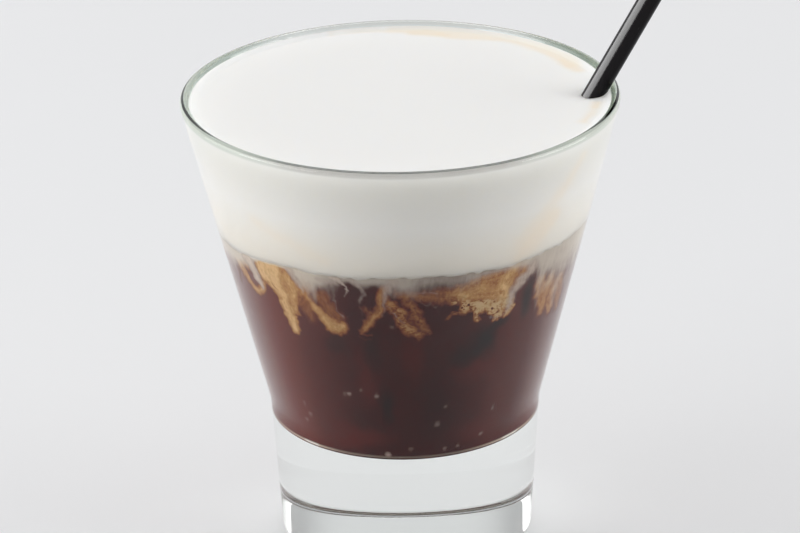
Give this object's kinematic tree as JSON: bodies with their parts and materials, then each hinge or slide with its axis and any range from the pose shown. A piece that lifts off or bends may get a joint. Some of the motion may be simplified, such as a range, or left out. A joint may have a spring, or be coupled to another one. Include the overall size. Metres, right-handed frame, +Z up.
{
  "type": "freddo cappuccino",
  "caption": "Iced coffee under a deep layer of cold milk foam in a flared, thick-footed clear tumbler, with a plain straw leaning on the rim.",
  "frame": {"origin": "middle of the tumbler's flat underside, on the surface it stands on", "axes": "+Z up along the tumbler's axis; the straw leans towards +X; -Y is the side seen first"},
  "size_m": [0.125, 0.0956, 0.1616],
  "materials": {
    "clear_glass": "clear, smooth glass with a faint green tint at the lip",
    "iced_coffee": "dark brown drink, marbled with milk under the foam",
    "milk_foam": "dense, fine, off-white cold milk foam",
    "black_plastic": "smooth black plastic"
  },
  "bodies": {
    "root": {"glass": "clear_glass", "coffee": "iced_coffee", "milk_foam": "milk_foam", "straw": "black_plastic"}
  },
  "joints": []
}
